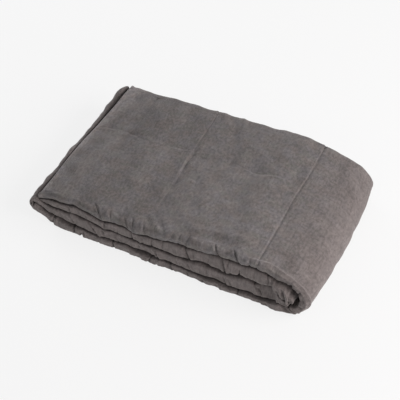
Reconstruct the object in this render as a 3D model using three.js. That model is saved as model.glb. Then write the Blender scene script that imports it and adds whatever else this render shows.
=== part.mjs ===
// A linen bedspread, softly padded and quilted, folded into a flat oblong bundle.
//
// The cloth is one piece. Across its width it is folded in half and in half again, which gives a
// strip of four plies with a rounded edge along the front of the bundle. Along its length that
// strip is then folded in half and in half again into four runs: top, bottom, third and second.
// The top and bottom runs are joined by the large outer turn on the right, the bottom and third
// runs by the tight nose on the left, and the third and second runs by the inner turn on the right.
//
// Millimetres. X runs along the bundle, Y from its front edge to its back edge, Z upwards.
// The origin is on the surface that the bundle lies on, under the middle of its bounding box.

import * as THREE from "three";

const WIDTH = 355; // front edge to back edge of the folded strip
const CLEARANCE = 1.2; // half of the space between one run and the next
const PLY = 5.5; // thickness of the padded cloth where nothing presses it
const PLY_SHARE = 0.8; // most that the cloth takes of the pitch of the plies, where it is pressed
const ROLL_STRETCH = 1.2; // how much further a rolled edge reaches than a round one would
const HEM_STAGGER = 4; // how far the inner back hem lies inside the outer one
const END_STEP = 15; // how far the lower plies of the top run show past the upper ones
const REACH = { top: 0, bottom: 5, third: 3, second: 1 }; // how far the runs' front edges stand out
const TURN_STEP = 22.5; // degrees between stations round a turn

// Heights of the seams between the runs along the front edge. back is the height of the crown along
// the back edge. A row for each station of the long runs, from the left end to the right.
const HEIGHTS = [
  { x: -281, foot: 18, low: 39, mid: 56, high: 66, crown: 82, back: 82 },
  { x: -262, foot: 3, low: 32, mid: 56, high: 71, crown: 86, back: 84 },
  { x: -240, foot: 0, low: 29, mid: 54, high: 76, crown: 90, back: 86 },
  { x: -200, foot: 0, low: 26, mid: 57, high: 80, crown: 93, back: 88 },
  { x: -160, foot: 0, low: 22, mid: 52, high: 74, crown: 92, back: 92 },
  { x: -110, foot: 0, low: 21, mid: 50, high: 73, crown: 92, back: 95 },
  { x: -55, foot: 0, low: 21, mid: 43, high: 69, crown: 92, back: 99 },
  { x: 0, foot: 0, low: 20, mid: 48, high: 78, crown: 98, back: 101 },
  { x: 60, foot: 0, low: 18, mid: 52, high: 84, crown: 102, back: 105 },
  { x: 115, foot: 0, low: 17, mid: 50, high: 91, crown: 108, back: 110 },
  { x: 160, foot: 0, low: 16, mid: 54, high: 95, crown: 112, back: 111 },
  { x: 200, foot: 0, low: 16, mid: 55, high: 95, crown: 111, back: 105 },
  { x: 240, foot: 0, low: 19, mid: 53, high: 89, crown: 104, back: 94 },
];

// The turns, as distances of the cloth's two faces from a centre. Angles are in degrees above +X.
const OUTER_TURN = {
  centre: { x: 250, z: 45 },
  rows: [
    { angle: 90, inside: 44, outside: 57 },
    { angle: 60, inside: 40, outside: 53 },
    { angle: 30, inside: 42, outside: 55 },
    { angle: 0, inside: 48, outside: 63 },
    { angle: -30, inside: 48, outside: 66 },
    { angle: -50, inside: 34, outside: 60 },
    { angle: -70, inside: 25, outside: 48 },
    { angle: -90, inside: 26, outside: 45 },
  ],
};
const NOSE_TURN = {
  centre: { x: -288, z: 41 },
  rows: [
    { angle: 270, inside: 2, outside: 18 },
    { angle: 225, inside: 2, outside: 17 },
    { angle: 180, inside: 3, outside: 22 },
    { angle: 135, inside: 3, outside: 21 },
    { angle: 90, inside: 2, outside: 17 },
  ],
};
const INNER_TURN = {
  centre: { x: 260, z: 50 },
  rows: [
    { angle: -90, inside: 2, outside: 25 },
    { angle: -45, inside: 3, outside: 26 },
    { angle: 0, inside: 3, outside: 26 },
    { angle: 45, inside: 3, outside: 27 },
    { angle: 90, inside: 2, outside: 27 },
  ],
};

// How the whole bundle is pushed out of square.
const LEFT_SKEW = { by: 18, from: -60, to: -280 }; // the left end slants away towards the back
const RIGHT_ROUNDING = { by: 11, from: 200, to: 290 }; // the right end's corners are drawn in

const smooth = (t) => {
  const s = Math.min(1, Math.max(0, t));
  return s * s * (3 - 2 * s);
};
const ramp = (v, { from, to }) => smooth((v - from) / (to - from));

// A column's value at a key, on straight lines between the rows of a table.
function lookUp(rows, key, at, column) {
  const rising = rows[0][key] < rows.at(-1)[key];
  const i = rows.findIndex((row) => (rising ? row[key] >= at : row[key] <= at));
  if (i === 0) return rows[0][column];
  if (i < 0) return rows.at(-1)[column];
  const [a, b] = [rows[i - 1], rows[i]];
  return THREE.MathUtils.mapLinear(at, a[key], b[key], a[column], b[column]);
}

// A station is where the strip is crossed: a point on its left face and one on its right face, as
// seen when walking along the cloth from the top run's free end.
function run(leftColumn, rightColumn, heading, reach) {
  const rows = heading > 0 ? HEIGHTS : [...HEIGHTS].reverse();
  const gap = (column) => (column === "foot" || column === "crown" ? 0 : CLEARANCE);
  return rows.map((row) => ({
    left: { x: row.x, z: row[leftColumn] - heading * gap(leftColumn) },
    right: { x: row.x, z: row[rightColumn] + heading * gap(rightColumn) },
    reach,
  }));
}

function turn({ centre, rows }, insideFace, reachFrom, reachTo) {
  const first = rows[0].angle;
  const last = rows.at(-1).angle;
  const steps = Math.round(Math.abs(last - first) / TURN_STEP);
  const outsideFace = insideFace === "right" ? "left" : "right";
  return Array.from({ length: steps + 1 }, (_, i) => {
    const angle = first + ((last - first) * i) / steps;
    const a = THREE.MathUtils.degToRad(angle);
    const at = (column) => {
      const r = lookUp(rows, "angle", angle, column);
      return { x: centre.x + r * Math.cos(a), z: Math.max(0, centre.z + r * Math.sin(a)) };
    };
    const reach = THREE.MathUtils.lerp(reachFrom, reachTo, i / steps);
    return { [insideFace]: at("inside"), [outsideFace]: at("outside"), reach };
  });
}

function stations() {
  const top = run("crown", "high", 1, REACH.top);
  top[0].next = top[1]; // the lower plies run on past this end
  return [
    ...top,
    ...turn(OUTER_TURN, "right", REACH.top, REACH.bottom),
    ...run("foot", "low", -1, REACH.bottom),
    ...turn(NOSE_TURN, "right", REACH.bottom, REACH.third),
    ...run("mid", "low", 1, REACH.third),
    ...turn(INNER_TURN, "left", REACH.third, REACH.second),
    ...run("mid", "high", -1, REACH.second),
  ];
}

// The outline of the four plies where the strip is `thickness` thick, as points { y, level, lower }.
// level runs from 1 on the left face to -1 on the right face. lower runs from 0 in the two plies
// next to the left face to 1 in the two next to the right face, with the rolled edge in between.
function section(thickness, reach) {
  const ply = Math.min(PLY, (thickness * PLY_SHARE) / (3 + PLY_SHARE));
  const pitch = (thickness - ply) / 3;
  const half = ply / 2;
  const front = -WIDTH / 2 - reach + ROLL_STRETCH * (1.5 * pitch + half);
  const back = WIDTH / 2 - ROLL_STRETCH * (0.5 * pitch + half);
  const between = [0.12, 0.5, 0.88];

  // Each stretch follows the middle line of a ply, in pitches, and `side` says which face of the
  // cloth is being walked: 1 for the outward walk and -1 for the way home.
  const across = (level, from, to) => (side) =>
    between.map((f) => ({
      y: THREE.MathUtils.lerp(from, to, f),
      z: level * pitch + side * half * Math.sign(from - to),
      middle: level,
    }));
  const roll = (y, level, radius, bulge, segments, down) => (side) =>
    Array.from({ length: segments + 1 }, (_, i) => {
      const a = Math.PI * (0.5 - i / segments) * down;
      const r = radius * pitch - side * half * bulge * down;
      return {
        y: y + bulge * ROLL_STRETCH * r * Math.cos(a),
        z: level * pitch + r * Math.sin(a),
        middle: level + radius * Math.sin(a),
      };
    });
  const hem = (y, level, way) => (side) => [
    { y, z: level * pitch + side * half * way, middle: level },
  ];

  const stretches = [
    hem(WIDTH / 2, 1.5, 1),
    across(1.5, back, front),
    roll(front, 0, 1.5, -1, 5, 1),
    across(-1.5, front, back),
    roll(back, -1, 0.5, 1, 3, -1),
    across(-0.5, back, front),
    roll(front, 0, 0.5, -1, 3, -1),
    across(0.5, front, back),
    hem(WIDTH / 2 - HEM_STAGGER, 0.5, -1),
  ];
  const outward = stretches.flatMap((stretch) => stretch(1));
  const homeward = stretches.flatMap((stretch) => stretch(-1)).reverse();
  return [...outward, ...homeward].map(({ y, z, middle }) => ({
    y,
    level: (2 * z) / thickness,
    lower: smooth(0.5 - middle / 2),
  }));
}

// Moves a point of the square-built bundle to where the cloth really lies.
function settle({ x, y, z }) {
  const depth = y / WIDTH + 0.5; // 0 along the front edge, 1 along the back edge
  const crown = lookUp(HEIGHTS, "x", x, "crown");
  const back = lookUp(HEIGHTS, "x", x, "back");
  const skew = LEFT_SKEW.by * depth * ramp(x, LEFT_SKEW);
  const rounding = RIGHT_ROUNDING.by * Math.abs((2 * y) / WIDTH) ** 3 * ramp(x, RIGHT_ROUNDING);
  return new THREE.Vector3(x + skew - rounding, y, z * THREE.MathUtils.lerp(1, back / crown, depth));
}

// A point between the right face (0) and the left face (1) of a station.
const inside = ({ left, right }, f) => ({
  x: THREE.MathUtils.lerp(right.x, left.x, f),
  z: THREE.MathUtils.lerp(right.z, left.z, f),
});

function ringAt(station) {
  const { left, right, reach, next } = station;
  const thickness = Math.hypot(left.x - right.x, left.z - right.z);
  return section(thickness, reach).map(({ y, level, lower }) => {
    const f = (1 + level) / 2;
    const here = inside(station, f);
    if (next) {
      const there = inside(next, f);
      const slope = (there.z - here.z) / (there.x - here.x);
      here.x -= END_STEP * lower;
      here.z -= END_STEP * lower * slope;
    }
    return settle({ x: here.x, y, z: here.z });
  });
}

// Joins ring after ring into one closed skin and closes both free ends. All the faces are split
// along the same diagonal, front to back, so that neighbouring plies keep their distance.
function skin(rings) {
  const count = rings[0].length;
  const index = [];
  rings.slice(0, -1).forEach((ring, s) => {
    for (let i = 0; i < count; i++) {
      const j = (i + 1) % count;
      const [a, b, c, d] = [s * count + i, s * count + j, (s + 1) * count + j, (s + 1) * count + i];
      if (ring[j].y > ring[i].y) index.push(a, b, c, a, c, d);
      else index.push(a, b, d, b, c, d);
    }
  });
  // An end is a band between the outward side of the outline and its homeward side.
  const half = count / 2;
  const lastRing = (rings.length - 1) * count;
  for (let i = 0; i + 1 < half; i++) {
    const [a, b, c, d] = [i, i + 1, count - 2 - i, count - 1 - i];
    index.push(a, c, b, a, d, c);
    index.push(lastRing + a, lastRing + b, lastRing + c, lastRing + a, lastRing + c, lastRing + d);
  }
  const geometry = new THREE.BufferGeometry().setFromPoints(rings.flat());
  geometry.setIndex(index);
  geometry.computeVertexNormals();
  return geometry;
}

function bedspread() {
  const geometry = skin(stations().map(ringAt));
  geometry.computeBoundingBox();
  const { min, max } = geometry.boundingBox;
  geometry.translate(-(min.x + max.x) / 2, -(min.y + max.y) / 2, -min.z);
  const linen = new THREE.MeshStandardMaterial({ color: 0x6a6663, roughness: 0.95, metalness: 0 });
  const mesh = new THREE.Mesh(geometry, linen);
  mesh.name = "bedspread";
  return mesh;
}

const part = new THREE.Group();
part.add(bedspread());

export default part;
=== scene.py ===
# A linen bedspread, softly padded and quilted, folded into a flat oblong bundle on a pale floor.
#
# The cloth is one closed sheet. Across its width it is folded into four plies with a rolled edge
# along the front. Along its length that strip is folded into four runs: top, bottom, third and
# second, joined by the outer turn and the inner turn on the right and the nose on the left.
# Lengths are in millimetres until the mesh is made, and the mesh is in metres.

from collections import namedtuple
from functools import reduce

import bmesh
import bpy
import numpy as np
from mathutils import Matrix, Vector


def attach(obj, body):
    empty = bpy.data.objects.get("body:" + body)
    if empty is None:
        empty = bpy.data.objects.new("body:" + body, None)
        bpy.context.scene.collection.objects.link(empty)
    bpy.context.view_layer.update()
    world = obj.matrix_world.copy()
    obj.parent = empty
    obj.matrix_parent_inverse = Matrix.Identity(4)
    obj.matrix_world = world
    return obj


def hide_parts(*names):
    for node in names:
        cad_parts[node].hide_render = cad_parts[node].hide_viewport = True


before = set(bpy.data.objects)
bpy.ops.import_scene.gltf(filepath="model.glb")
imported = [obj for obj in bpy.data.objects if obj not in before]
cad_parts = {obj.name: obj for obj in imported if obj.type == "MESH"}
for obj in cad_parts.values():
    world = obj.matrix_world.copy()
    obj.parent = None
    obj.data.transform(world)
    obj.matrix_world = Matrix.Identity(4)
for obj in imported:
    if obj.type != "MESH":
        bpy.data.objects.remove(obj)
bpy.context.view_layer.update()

MM = 0.001
ORIGIN = (1.69, -2.28, 0)  # where the bundle's middle lies in the fold's own coordinates


def rows_of(text, count):
    return np.array(text.split(), float).reshape(-1, count)


def table(names, text):
    """The columns of a short table, by name."""
    names = names.split()
    return dict(zip(names, rows_of(text, len(names)).T))


def grouped(kind, **groups):
    """Rows of one kind, where the group's name is each row's first field."""
    count = len(kind._fields) - 1
    return [kind(name, *row) for name, text in groups.items() for row in rows_of(text, count).tolist()]


# --- Sizes of the fold ---

WIDTH = 355  # front edge to back edge of the folded strip
CLEARANCE = 1.2  # half of the space between one run and the next
PLY = 5.5  # thickness of the padded cloth where nothing presses it
PLY_SHARE = 0.8  # most that the cloth takes of the pitch of the plies, where it is pressed
ROLL_STRETCH = 1.2  # how much further a rolled edge reaches than a round one would
ROLL_DEPTH = 28  # how far back from the front edge the rolled edges narrow
ROLL_SLIMMER = 0.03  # share of their thickness that they lose at the front
ROLL_SQUARENESS = 8  # how square the rolled edges' corners are pressed, where 2 is round
CROWN_SQUARENESS = 3  # the same for the corner where the top face comes over the edge
INNER_SETBACK = 5  # how far the inner rolled edge lies behind the outer one
HEM_STAGGER = 4  # how far the inner back hem lies inside the outer one
END_STEP_REACH = 45  # the length over which the plies' steps at the free end are taken up
SOFTENING = 5  # how far the corners of the tables below are rounded off
REACH = {"top": 0, "bottom": 6, "third": 3, "second": 1}  # how far the front edges stand out

PITCHES = 3  # from the middle of the lowest of the four plies to the middle of the highest
TOP_LEVEL = PITCHES / 2  # of the highest ply above the strip's middle, in pitches
USUAL_THICKNESS = 24  # of the four plies together
PITCH = USUAL_THICKNESS / (PITCHES + PLY_SHARE)
FLAT_WIDTH = WIDTH - ROLL_STRETCH * 2 * PITCH  # of a ply between its rolled edges

# Heights of the seams between the runs along the front edge, and of the crown along the back one.
SEAMS = table("x foot low mid high crown back", """
    -287 27 46 61 65 81 82
    -281 23 41 58 67 82 82
    -272 14 36 56 70 84 83
    -262 6 32 55 72 86 83
    -250 1 29 54 74 88 83
    -238 0 26 55 74 90 83
    -222 0 22 53 76 92 85
    -214 0 20 58 78 92 86
    -202 0 22 55 79 93 88
    -190 0 24 53 77 93 89
    -178 0 21 56 76 92 91
    -165 0 20 53 72 92 94
    -152 0 19 49 68 91 95
    -139 0 19 44 66 91 94.5
    -124 0 19 48 72 91 94
    -108 0 19 45 71 91 96
    -91 0 22 44 71 91 97
    -72 0 17 42 65 91 98
    -56 0 18 40 66 92 99
    -40 0 20 42 69 93 99
    -20 0 19 45 72 95 99
    -6 0 18 44 75 97 98.5
    8 0 18 43 81 98 99
    26 0 18 44 81 100 100.5
    43 0 17 44 80 101 102
    60 0 16 46 82 103 104
    78 0 15 52 85 105 104.5
    90 0 15 49 86 106 105
    103 0 17 46 89 107 106.5
    120 0 15 45 91 109 109.5
    136 0 13 46 91 110 113
    150 0 11 50 91 111 113.5
    163 0 12 55 92 111 112.5
    176 0 13 53 94 111 109
    190 0 13 53 94 111 107
    202 0 12 50 94 110 104
    216 0 12 53 90 109 101
    230 0 15 57 86 107 97
    240 0 18 55 82 104 94
""")
CROWN_FROM = -281  # how far to the left the crown's height is looked up

# Where a seam gapes along the front: the seam, where along x, how far to each side and how wide.
Gape = namedtuple("Gape", "seam x reach width")
GAPES = grouped(Gape,
    high="""
    -246 14 2.4   -210 10 1.6   -117 8 1.4   -63 6 2.6
    14 16 2.4   43 7 4   104 12 2   121 8 4.5
    148 8 2.8   185 22 2   244 20 5
    """,
    mid="""
    -260 12 2.6   -231 9 4   -187 8 1.8   -166 7 2.8
    -142 8 2.6   -34 13 3   77 9 3.6   100 18 2.8
    138 10 2.4   164 10 4.4   192 14 5   234 12 4
    """,
    low="""
    -258 9 6.5   -230 24 4.6   -206 7 3.6   -60 17 4.2
    -38 9 3.6   12 7 3   70 12 1.4   90 9 2
    115 14 2   157 9 1.6   195 30 0.8   240 20 0.6
    """,
)

# The turns, as distances of the cloth's two faces from a centre. Angles are in degrees above +X.
Turn = namedtuple("Turn", "x z rows")
OUTER_TURN = Turn(250, 45, table("angle inside outside", """
    90 40 57   72 41 55   50 46 57   28 49 60   0 52 66
    -30 48 64   -50 36 60   -70 25 49   -90 25 45
"""))
NOSE_TURN = Turn(-299, 54, table("angle inside outside", """
    270 2 22   240 2 17   210 2 13   180 2 12   135 2 11   90 2 14
"""))
INNER_TURN = Turn(279, 36, table("angle inside outside", """
    -90 1 7   -45 1 8   0 1 9   32 2 17
    50 2 19   65 2 21.5   80 2 25   90 2 29
"""))

# How the whole bundle is pushed out of square. A pair is where an effect starts and where it is full.
LEFT_REACH = (-60, -280)  # along x, the left end's slant
RIGHT_REACH = (200, 290)  # along x, the right end's rounding
BACK_FLARE = 2  # how much further back each ply under the top one reaches at the left end
FLARE_Y, FLARE_ALONG = (110, 170), (70, 10)
NOSE_RISE = 11  # how much higher the nose stands behind its front corner
NOSE_X, NOSE_Z, NOSE_Y = (-283, -296), (45, 62), (-172, -135)
NOSE_CORNER, CORNER_Y = 0.3, (120, 172)  # the share that its back corner stands higher still

# The left end from front to back, with y from the strip's middle: how far it slants in, how far the
# top ply's end lies inside that line and the lower plies' outside it, and how far the nose is tucked.
LEFT_END = table("y slant inside outside tuck", """
    -178 0 -3 4 -1
    -160 0 3 1 1
    -137 0 4 -2 5
    -74 1 4 -2 9
    -15 5 4 -2 8
    48 13 4 -2 6.5
    118 18 5 -2 3
    157 20 5 -4 6
    178 21 7 -7 10
""")

# How far the right end is drawn in from the front edge to the back one. It bulges in the middle.
RIGHT_END = table("y drawn", """
    -178 11   -168 9.5   -154 6   -110 3.6   -70 0   -20 -3.5
    25 -5.3   60 -2.3   90 1.5   120 5   178 10
""")

# Where the front edge is drawn in along a run, or stands out if by is below 0: between which places
# along x, how far, and how much further on the strip's left face than on its right one.
Setback = namedtuple("Setback", "leg start stop soft by lean")
SETBACKS = grouped(Setback,
    bottom="-50 -8 8 -3.5 0   124 148 8 -3.5 0",
    third="206 276 9 1.5 9",
    inner="255 300 10 -5 0",
    second="246 290 14 -9 0",
)

# Random bumps, in layers: each one's height, its stretch the other way, its length and its seed.
EDGE_BUMPS = ((1.3, 0, 90, 5), (0.5, 0, 34, 6))
SLIMMING = ((0.5, 0, 55, 8),)
TOP_BUMPS = ((1.3, 0.3, 80, 11), (0.8, 0.7, 36, 12), (0.22, 1, 16, 13))
BACK_BUMPS = ((0.9, 0, 60, 41), (0.6, 0, 22, 42))
ROLL_BUMPS = ((0.5, 27, 42, 51), (0.3, 27, 17, 52), (0.2, 36, 8, 53))
NOSE_BUMPS = ((0.9, 0.3, 30, 61), (0.4, 1, 12, 63))
NOSE_RISE_BUMPS = ((0.2, 0, 60, 62),)
BUMP_LENGTHS = (0.7, 1.6)  # shares of a layer's length, from which the waves in it are drawn

# --- Quilting, creases and folds ---

QUILT_ALONG = 246  # from one quilting line across the strip to the next
QUILT_ACROSS = 245  # from one quilting line along the cloth to the next
FIRST_ALONG = 243  # first line, from the free end
FIRST_ACROSS = 130  # first line, from the outer hem
QUILT_LINES = 5  # across the strip, as far as the cloth shows
QUILT_WANDER = (1.2, 140, 20)  # height and length of the waves they stray in, and the first seed
QUILT_DEPTH, LONG_DEPTH = 1.7, 0.75  # of the lines across the strip and of the one along the cloth
SHOULDERS = ((0.3, 0, 11), (0.5, 3, 1.8))  # beside a groove: share of its depth, shift and width
WALLS = (1.5, 2.6)  # width of a groove's steep side and of its gentle one
GROOVE_SHIFT = 0.3  # from a line to the bottom of its groove
PUFF, PUFF_ROUNDNESS = 5, 0.8  # how far the squares between the lines swell, and how full they are
PUFF_ACROSS, PUFF_ALONG = (0, 70), (400, 330)  # where they start, from the back hem, and run out
FIRST_FLATTER, FIRST_FLATTER_Y = (0.3, 0.75), (40, -120)  # by which shares the first line is flatter
LONG_FLATTER, LONG_FLATTER_X = 0.55, (190, 240)  # the same for the line along the cloth
HEM_LINE = 9  # the hem's stitching, from the edge
HEM_GROOVE = 2  # how wide its groove is
END_RIM, END_RIM_Y = (1, 2.6), (-60, 120)  # height of the padded rim across the free end
END_GROOVE, END_GROOVE_Y = 0.7, (-172, -150)  # depth of the groove there
BACK_RIM, BACK_GROOVE = 0.5, 0.6  # the same along the back hem
END_PLACE, BACK_PLACE = (4, 5), (6, 4)  # how far outside the stitches a rim lies, and its width
SEWN_FROM = 5  # where the lines of stitches start, from the edge
STITCH = {"pitch": 4.2, "length": 2.9, "thick": 0.5}

# How the first line along the cloth wanders on the top face, with y from the strip's middle.
LONG_LINE = table("x y", """
    -300 37   -231 49   -197 44   -139 31   -98 42   -40 52
    0 57   40 52   96 41   169 51   240 55   420 50
""")

# Marks on the top face and round the outer turn: straight or slightly bowed ridges (height above 0)
# and troughs (below 0). x is measured along the cloth, and is the real x on the flat of the top.
Mark = namedtuple("Mark", "x0 y0 x1 y1 bow height width")
TOP_MARKS = [Mark(*row) for row in rows_of("""
    -207 165 -200 -40 2 -2.8 9
    -193 150 -190 -30 2 2.2 10
    -249 172 -250 20 -2 -1.6 8
    44 100 2 -110 6 -2.3 9
    58 90 20 -100 6 2.2 11
    32 -144 66 -147 0 2.7 5
    58 -146 100 -138 2 3.7 4
    96 -139 146 -132 0 3.4 4.5
    140 -132 176 -138 0 2 6
    60 -160 150 -152 0 -2.7 10
    -43 62 -47 -4 0 -2.5 2.8
    -52 62 -54 -30 0 1.7 5
    2 92 -44 -112 4 2.6 12
    -16 60 -52 -70 2 -1.8 9
    -64 -142 -30 -178 0 -1.2 4
    -52 -138 -18 -174 0 0.9 5
    -42 -136 -4 -178 0 -1.4 4
    -28 -134 10 -172 0 0.8 5
    -112 -140 -96 -172 0 -1.5 5
    -58 40 -50 -60 2 1.5 6
    -36 20 -28 -90 -2 1.4 7
    -24 170 18 120 3 -2.7 9
    -36 176 2 140 -3 2.7 6
    8 178 26 150 2 2.5 6
    -276 176 -240 158 0 1.8 13
""", 7)]

TOP_EDGE = (1.15, 0.35)  # how the top's relief fades out down the rolled edge
END_REACH = 6  # how near to the free ends the relief fades out

# A ridge that comes in along the front edge and runs on round the outer turn.
RIDGE = {"y": -171, "bulge": 6, "bulge x": 235, "bulge width": 34, "height": 3.4, "width": 2.6,
         "from": (168, 200), "to": (420, 330)}

# Creases where the top face comes over the front edge, and on the rolls under it. low and high are
# heights on the rolled edge, from 0 at the seam below to 1 at the seam above; on the top run a crease
# with a high above 1 runs on over the top.
Crease = namedtuple("Crease", "leg x lean low high bow depth width step")
CREASES = grouped(Crease,
    top="""
    -152 -22 0.1 1.35 3 3 1.8 0.9
    -124 -10 0.1 1.1 0 1.8 1.5 -0.5
    -89 -15 0.1 1.1 0 2.1 1.7 0.6
    -75 -9 0.1 1.3 2 2.4 1.7 0.6
    -50 -12 0.2 1.2 0 1.7 2 -0.5
    -24 -10 0.3 1.2 0 1.5 2.2 -0.5
    -4 -6 0.3 1.1 0 1.4 2.2 0.4
    12 4 0.3 1.1 0 1.4 2.4 0.4
    28 3 0.1 1.1 0 1.5 2 -0.5
    46 4 0.1 1.2 0 1.9 2 0.6
    111 -14 0 1.15 0 3.2 1.8 1.1
    153 -16 0 1.15 0 3.5 1.8 1.2
    181 -1 0 0.7 0 2.2 1.8 -0.8
    198 3 0 0.9 0 1.3 1.7 -0.4
    """,
    second="""
    -217 -4 0 1.1 0 2 1.7 0.6
    -178 2 0.2 1.1 0 1.4 2 0.4
    -138 0 0.1 1.1 0 2.7 1.5 -0.8
    -108 3 0.1 1.1 0 1.2 1.9 0.4
    -77 -2 0 1.1 0 2.5 1.5 0.7
    -52 2 0 0.9 0 1.4 1.9 -0.5
    -31 1 0 1.1 0 2.5 1.5 0.6
    -7 1 0.1 1.1 0 2.4 1.7 -0.8
    49 -10 -0.1 1.2 -2 4.6 1.9 1.3
    62 7 0.2 1.1 0 1.7 1.9 -0.5
    94 2 0 0.8 0 1.2 2 0.4
    127 -8 -0.1 1.2 0 4.6 1.9 0.9
    135 6 0.5 1.2 0 2.7 1.5 -0.6
    161 1 -0.1 0.6 0 3.2 1.7 -1
    166 8 0.5 0.8 0 -1 2 0
    193 2 0.3 1.1 0 1.4 2 0.5
    222 -5 0.1 1.1 2 3.1 1.7 -0.9
    232 -2 0.2 1 0 2.9 1.7 0.8
    246 -5 -0.1 0.6 0 3.2 2 0.8
    259 -10 -0.1 0.85 0 4.8 2 -1.3
    """,
    third="""
    -212 -13 0 1.1 0 2.2 1.9 0.7
    -164 -22 0 1.1 2 4.1 2 1.3
    -140 -6 0.4 1.1 0 2.9 1.9 0.7
    -127 2 0 0.7 0 1.5 1.7 0.5
    -112 -12 0 1.1 0 2.5 1.7 0.8
    -60 -5 0.3 1.1 0 1.4 2.2 0.4
    -20 -9 0 1.1 0 4.4 2 1.2
    26 -6 0.2 1 0 1.4 1.9 0.4
    52 -9 0.2 1.1 0 2.4 1.9 0.7
    92 -5 0.1 0.9 0 1.5 1.9 0.5
    129 -11 0 0.8 0 2.4 1.5 0.6
    141 -11 0 0.7 0 2 1.5 0.6
    204 -22 0.1 1.2 0 3.6 2 0
    """,
    bottom="""
    -257 5 0 1.2 0 3.4 2 0.8
    -208 -2 0.2 1.2 0 4.1 2.2 1
    -193 -5 -0.2 0.5 0 4.1 2.4 0.9
    -185 -4 0.3 1 0 1.9 1.7 0.5
    -150 3 0 0.7 0 1.5 1.9 0.5
    -118 -3 0 1.1 0 3.4 1.7 0.9
    -82 3 0 0.8 0 1.5 2 0.5
    -35 6 0 1.2 0 3.8 1.9 -1.2
    -16 4 -0.2 0.5 0 1.3 2.2 0.6
    17 -8 0 1.2 -3 4.4 1.9 1.1
    51 -4 0.1 0.9 0 1.7 1.7 0.6
    86 -5 0 0.9 0 1.5 1.9 0.5
    122 4 0 0.8 0 1.7 1.9 0.5
    161 -1 0.2 1.2 0 3.9 1.9 0.9
    208 -4 0 0.8 0 1.7 2 0.6
    """,
)
CREASE_REACH = 60  # how far along the cloth a crease is looked for
TURN_BACK = 12  # from the front edge back to where the rolled edge has become the top face
TURN_SHARE = 0.4  # share of a height of 1 that this makes up on the top run
RUN_ON = 18  # how much further back each further 1 reaches
STEP_WIDTH = 13  # over which the step beside a crease dies away
LIPS = (0.28, 2.4, 1.5)  # beside a crease: share of its depth, and in widths how far off and how wide

# How lines fade out at their two ends: over which share of the line, and how far on they start.
CREASE_FADE = ((0.22, 0.3), (0.3, 0.2))
MARK_FADE = ((0.3, 0.3), (0.3, 0.3))

# Creases and pits on the rolled edge where it goes round a turn. at is the share of the way round,
# and low and high are heights across the strip, from its right face at 0 to its left one at 1.
TurnCrease = namedtuple("TurnCrease", "leg at lean low high depth width")
TURN_CREASES = grouped(TurnCrease,
    outer="""
    0.26 2 -0.2 0.45 5 3
    0.39 -4 0 0.8 3.5 2
    0.5 0 0.1 0.8 1.5 4
    0.63 4 0 0.7 2.5 3
    0.765 -7 -0.2 1.1 4.6 2.2
    0.86 -3 -0.4 0.75 5 7
    """,
    inner="""
    0.7 3 -0.2 0.7 4.5 2.2
    0.92 -4 -0.1 1.1 3 2
    """,
    nose="""
    0.36 0 -0.3 0.35 6 2.2
    0.56 0 0.2 0.75 4 1.8
    """,
)

# Small puckers at random on each leg: how many, between which places along x, and the spans that
# their fields are drawn from, in this order. x and high are counted from the place and from low.
PUCKER_SEED = 23
PUCKERS = {"top": 22, "second": 26, "third": 26, "bottom": 30}
PUCKERED = (-260, 236)
PUCKER_SPANS = {"low": (-0.1, 0.5), "x": (-6, 6), "lean": (-9, 5), "high": (0.5, 0.9), "bow": (-2, 2),
                "depth": (0.3, 1.0), "width": (2.0, 4.0), "step": (-0.5, 0.6)}

# --- How finely the mesh is cut ---

STATION_SPACING = {"top": 2.6, "outer": 3.2, "bottom": 2.8, "nose": 2.6, "third": 2.8,
                   "inner": 2.4, "second": 2.8}
COLUMN_SPACING = 8
# Where the stations and the columns lie closer: how far to each side of a place, and how close.
NEAR_CREASE, NEAR_QUILTING, NEAR_HEM = (4.5, 1.1), (6, 1.1), (5, 2.2)
FINE_COLUMNS = [(HEM_LINE, 5, 2.6), (FIRST_ACROSS, 11, 1.6), (FLAT_WIDTH, 75, 4.2), (FLAT_WIDTH, 16, 2)]
ROLL_CLUSTER = 0.5  # how much closer the columns lie at a rolled edge's corners
HIDDEN_COLUMNS = 4  # of the columns of a covered face, one in so many is kept
HIDDEN_ROWS = 3  # of the stations of the covered plies, one in so many is kept
COVERED_FROM = 20  # how far inside its turns a run's face counts as covered
END_ROWS = 8  # stations at each end that are all kept
END_ROUNDING = (0, 0.3, 0.9, 1.8, 3.0)  # the first and last stations, from the cloth's ends
END_FLATNESS = 0.03  # share of that rounding at the very end, which keeps some thickness there
TINY = 1e-9  # keeps a length from being 0


def smooth(t):
    s = np.clip(t, 0, 1)
    return s * s * (3 - 2 * s)


def ramp(value, start, stop):
    return smooth((value - start) / (stop - start))


def within(value, start, stop, soft):
    """1 from start to stop, fading out over `soft` on both sides."""
    return smooth((value - start) / soft + 1) * smooth((stop - value) / soft + 1)


def mix(a, b, t):
    return a + (b - a) * t


def bell(distance, width):
    return np.exp(-((distance / width) ** 2))


def bowed(bow, t):
    return bow * 4 * t * (1 - t)


def faded(t, ends):
    """1 along a line where t goes from 0 to 1, and less towards its two ends."""
    (low, low_start), (high, high_start) = ends
    return smooth(t / low + low_start) * smooth((1 - t) / high + high_start)


def through(keys, values, at):
    """A smooth curve through `values`, a row for each of `keys`, looked up at the places `at`."""
    slopes = np.gradient(values, keys, axis=0)
    i = np.clip(np.searchsorted(keys, at) - 1, 0, len(keys) - 2)
    span = (keys[i + 1] - keys[i])[:, None]
    t = (np.asarray(at) - keys[i])[:, None] / span
    u = 1 - t
    ends = values[i] * (1 + 2 * t) * u * u + values[i + 1] * (1 + 2 * u) * t * t
    return ends + slopes[i] * span * t * u * u - slopes[i + 1] * span * u * t * t


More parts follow.
